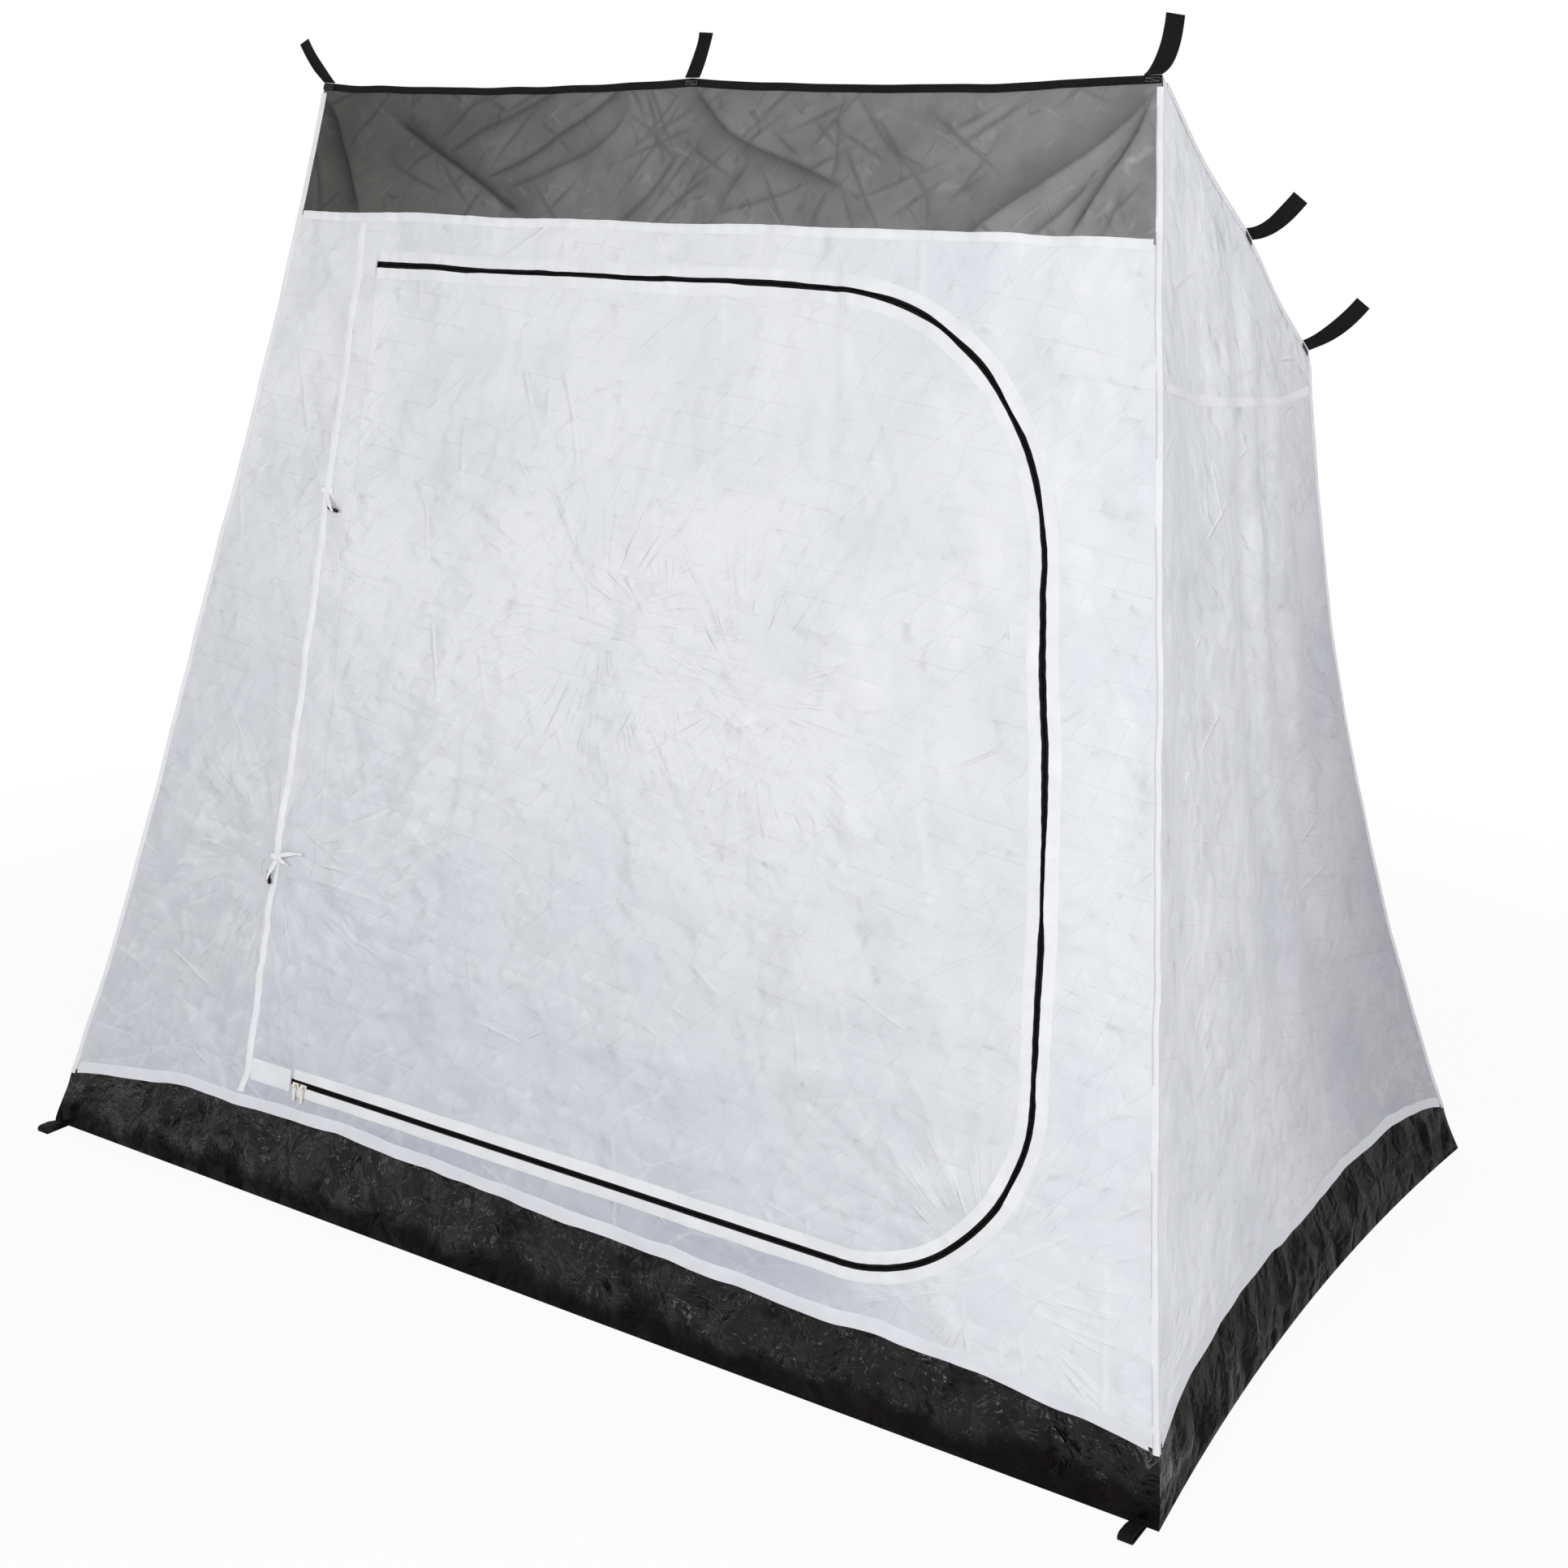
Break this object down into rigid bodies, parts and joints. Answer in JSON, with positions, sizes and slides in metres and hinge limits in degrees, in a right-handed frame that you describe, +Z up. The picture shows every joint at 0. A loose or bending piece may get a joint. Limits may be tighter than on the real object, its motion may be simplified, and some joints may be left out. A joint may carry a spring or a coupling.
{
  "type": "inner tent",
  "caption": "White hanging inner tent with a bathtub groundsheet, a mesh vent strip, a D-shaped zipped door, webbing straps and peg loops.",
  "frame": {"origin": "centre of the floor's underside, on the surface the tent stands on", "axes": "+Z up; +X to the right as seen from the door side, along the width; the door side faces -Y"},
  "size_m": [2.1, 1.471, 1.86],
  "materials": {
    "polyester": "matt white breathable polyester",
    "tape": "white woven tape",
    "mesh": "dark grey mosquito mesh",
    "groundsheet": "glossy black coated sheet",
    "webbing": "black woven webbing",
    "zip": "black coil",
    "nickel": "nickel plate",
    "toggle": "glossy black moulding"
  },
  "bodies": {
    "cabin": {"groundsheet_tub": "groundsheet", "front_left_panel": "polyester", "front_door_surround": "polyester", "front_mesh_panel": "mesh", "mesh_hem_tape": "tape", "door_seam_tape": "tape", "zip_end_patch_upper": "tape", "zip_end_patch_lower": "tape", "zip_wall_teeth": "zip", "zip_wall_tape": "tape", "right_wall_lower": "polyester", "right_wall_upper": "polyester", "right_cross_seam_tape": "tape", "left_wall_lower": "polyester", "left_wall_upper": "polyester", "left_cross_seam_tape": "tape", "back_wall": "polyester", "roof_panel": "polyester", "tub_hem_front": "tape", "tub_hem_right": "tape", "tub_hem_back": "tape", "tub_hem_left": "tape", "corner_tape_front_right": "tape", "corner_tape_front_left": "tape", "corner_tape_back_right": "tape", "corner_tape_back_left": "tape", "front_top_binding": "webbing", "back_top_binding": "webbing", "roof_tape_right": "tape", "roof_tape_left": "tape", "inner_pocket": "polyester", "toggle_tab_upper": "tape", "toggle_tab_lower": "tape", "toggle_loop_lower": "tape"},
    "door": {"door_panel": "polyester", "zip_door_teeth": "zip", "zip_door_tape": "tape"},
    "slider_trailing": {"zip_slider_trailing": "nickel"},
    "slider_leading": {"zip_slider_leading": "nickel"},
    "pull_trailing": {"zip_pull_trailing": "nickel"},
    "pull_leading": {"zip_pull_leading": "nickel"},
    "toggle_upper": {"toggle_ribbon_upper": "tape", "toggle_bar_upper": "toggle"},
    "toggle_lower": {"toggle_ribbon_lower": "tape", "toggle_bar_lower": "toggle"},
    "front_left_strap": {"strap_front_left": "webbing"},
    "front_middle_strap": {"strap_front_middle": "webbing"},
    "front_right_strap": {"strap_front_right": "webbing"},
    "side_right_strap": {"strap_side_right": "webbing"},
    "side_left_strap": {"strap_side_left": "webbing"},
    "back_right_strap": {"strap_back_right": "webbing"},
    "back_left_strap": {"strap_back_left": "webbing"},
    "front_right_peg_loop": {"peg_loop_front_right": "webbing"},
    "front_left_peg_loop": {"peg_loop_front_left": "webbing"},
    "back_right_peg_loop": {"peg_loop_back_right": "webbing"},
    "back_left_peg_loop": {"peg_loop_back_left": "webbing"}
  },
  "joints": [
    {"name": "door_hinge", "type": "hinge", "parent": "cabin", "child": "door", "pos_m": [-0.507, -0.65421, 0.19982], "axis": [0.0442, -0.2253, -0.9733], "range_deg": [0, 105]},
    {"name": "trailing_slide", "type": "slide", "parent": "cabin", "child": "slider_trailing", "axis": [1, 0, 0], "range_m": [0, 0.5]},
    {"name": "leading_slide", "type": "slide", "parent": "slider_trailing", "child": "slider_leading", "axis": [1, 0, 0], "range_m": [0, 0.5]},
    {"name": "trailing_pull_swing", "type": "hinge", "parent": "slider_trailing", "child": "pull_trailing", "pos_m": [-0.494, -0.65848, 0.19711], "axis": [-1, 0, 0], "range_deg": [0, 150]},
    {"name": "leading_pull_swing", "type": "hinge", "parent": "slider_leading", "child": "pull_leading", "pos_m": [-0.477, -0.65848, 0.19711], "axis": [-1, 0, 0], "range_deg": [0, 150]},
    {"name": "upper_toggle_swing", "type": "hinge", "parent": "cabin", "child": "toggle_upper", "pos_m": [-0.605, -0.44093, 1.12881], "axis": [-0.6691, -0.1676, -0.724], "range_deg": [0, 140]},
    {"name": "lower_toggle_swing", "type": "hinge", "parent": "cabin", "child": "toggle_lower", "pos_m": [-0.605, -0.57685, 0.54159], "axis": [-0.9703, 0.0545, 0.2357], "range_deg": [0, 140]},
    {"name": "front_left_strap_fold", "type": "hinge", "parent": "cabin", "child": "front_left_strap", "pos_m": [-0.72271, -0.28927, 1.7824], "axis": [1, 0, 0], "range_deg": [-35, 80]},
    {"name": "front_middle_strap_fold", "type": "hinge", "parent": "cabin", "child": "front_middle_strap", "pos_m": [0, -0.28901, 1.78339], "axis": [1, 0, 0], "range_deg": [-35, 80]},
    {"name": "front_right_strap_fold", "type": "hinge", "parent": "cabin", "child": "front_right_strap", "pos_m": [0.72279, -0.28927, 1.7824], "axis": [1, 0, 0], "range_deg": [-18, 80]},
    {"name": "side_right_strap_fold", "type": "hinge", "parent": "cabin", "child": "side_right_strap", "pos_m": [0.77175, -0.02752, 1.58852], "axis": [0.1042, 0.7973, -0.5945], "range_deg": [-45, 45]},
    {"name": "side_left_strap_fold", "type": "hinge", "parent": "cabin", "child": "side_left_strap", "pos_m": [-0.7719, -0.02754, 1.58852], "axis": [0.1042, -0.7973, 0.5945], "range_deg": [-45, 45]},
    {"name": "back_right_strap_fold", "type": "hinge", "parent": "cabin", "child": "back_right_strap", "pos_m": [0.79918, 0.1818, 1.4322], "axis": [0.1265, 0.8053, -0.5792], "range_deg": [-45, 45]},
    {"name": "back_left_strap_fold", "type": "hinge", "parent": "cabin", "child": "back_left_strap", "pos_m": [-0.7992, 0.1818, 1.4322], "axis": [0.1265, -0.8053, 0.5792], "range_deg": [-45, 45]},
    {"name": "front_right_peg_loop_fold", "type": "hinge", "parent": "cabin", "child": "front_right_peg_loop", "pos_m": [1.034, -0.7005, 0.0038], "axis": [-1, 0, 0], "range_deg": [0, 70]},
    {"name": "front_left_peg_loop_fold", "type": "hinge", "parent": "cabin", "child": "front_left_peg_loop", "pos_m": [-1.034, -0.7005, 0.0038], "axis": [-1, 0, 0], "range_deg": [0, 70]},
    {"name": "back_right_peg_loop_swing", "type": "hinge", "parent": "cabin", "child": "back_right_peg_loop", "pos_m": [1.034, 0.7005, 0.0038], "axis": [0, 0, -1], "range_deg": [0, 90]},
    {"name": "back_left_peg_loop_swing", "type": "hinge", "parent": "cabin", "child": "back_left_peg_loop", "pos_m": [-1.034, 0.7005, 0.0038], "axis": [0, 0, 1], "range_deg": [0, 90]}
  ]
}
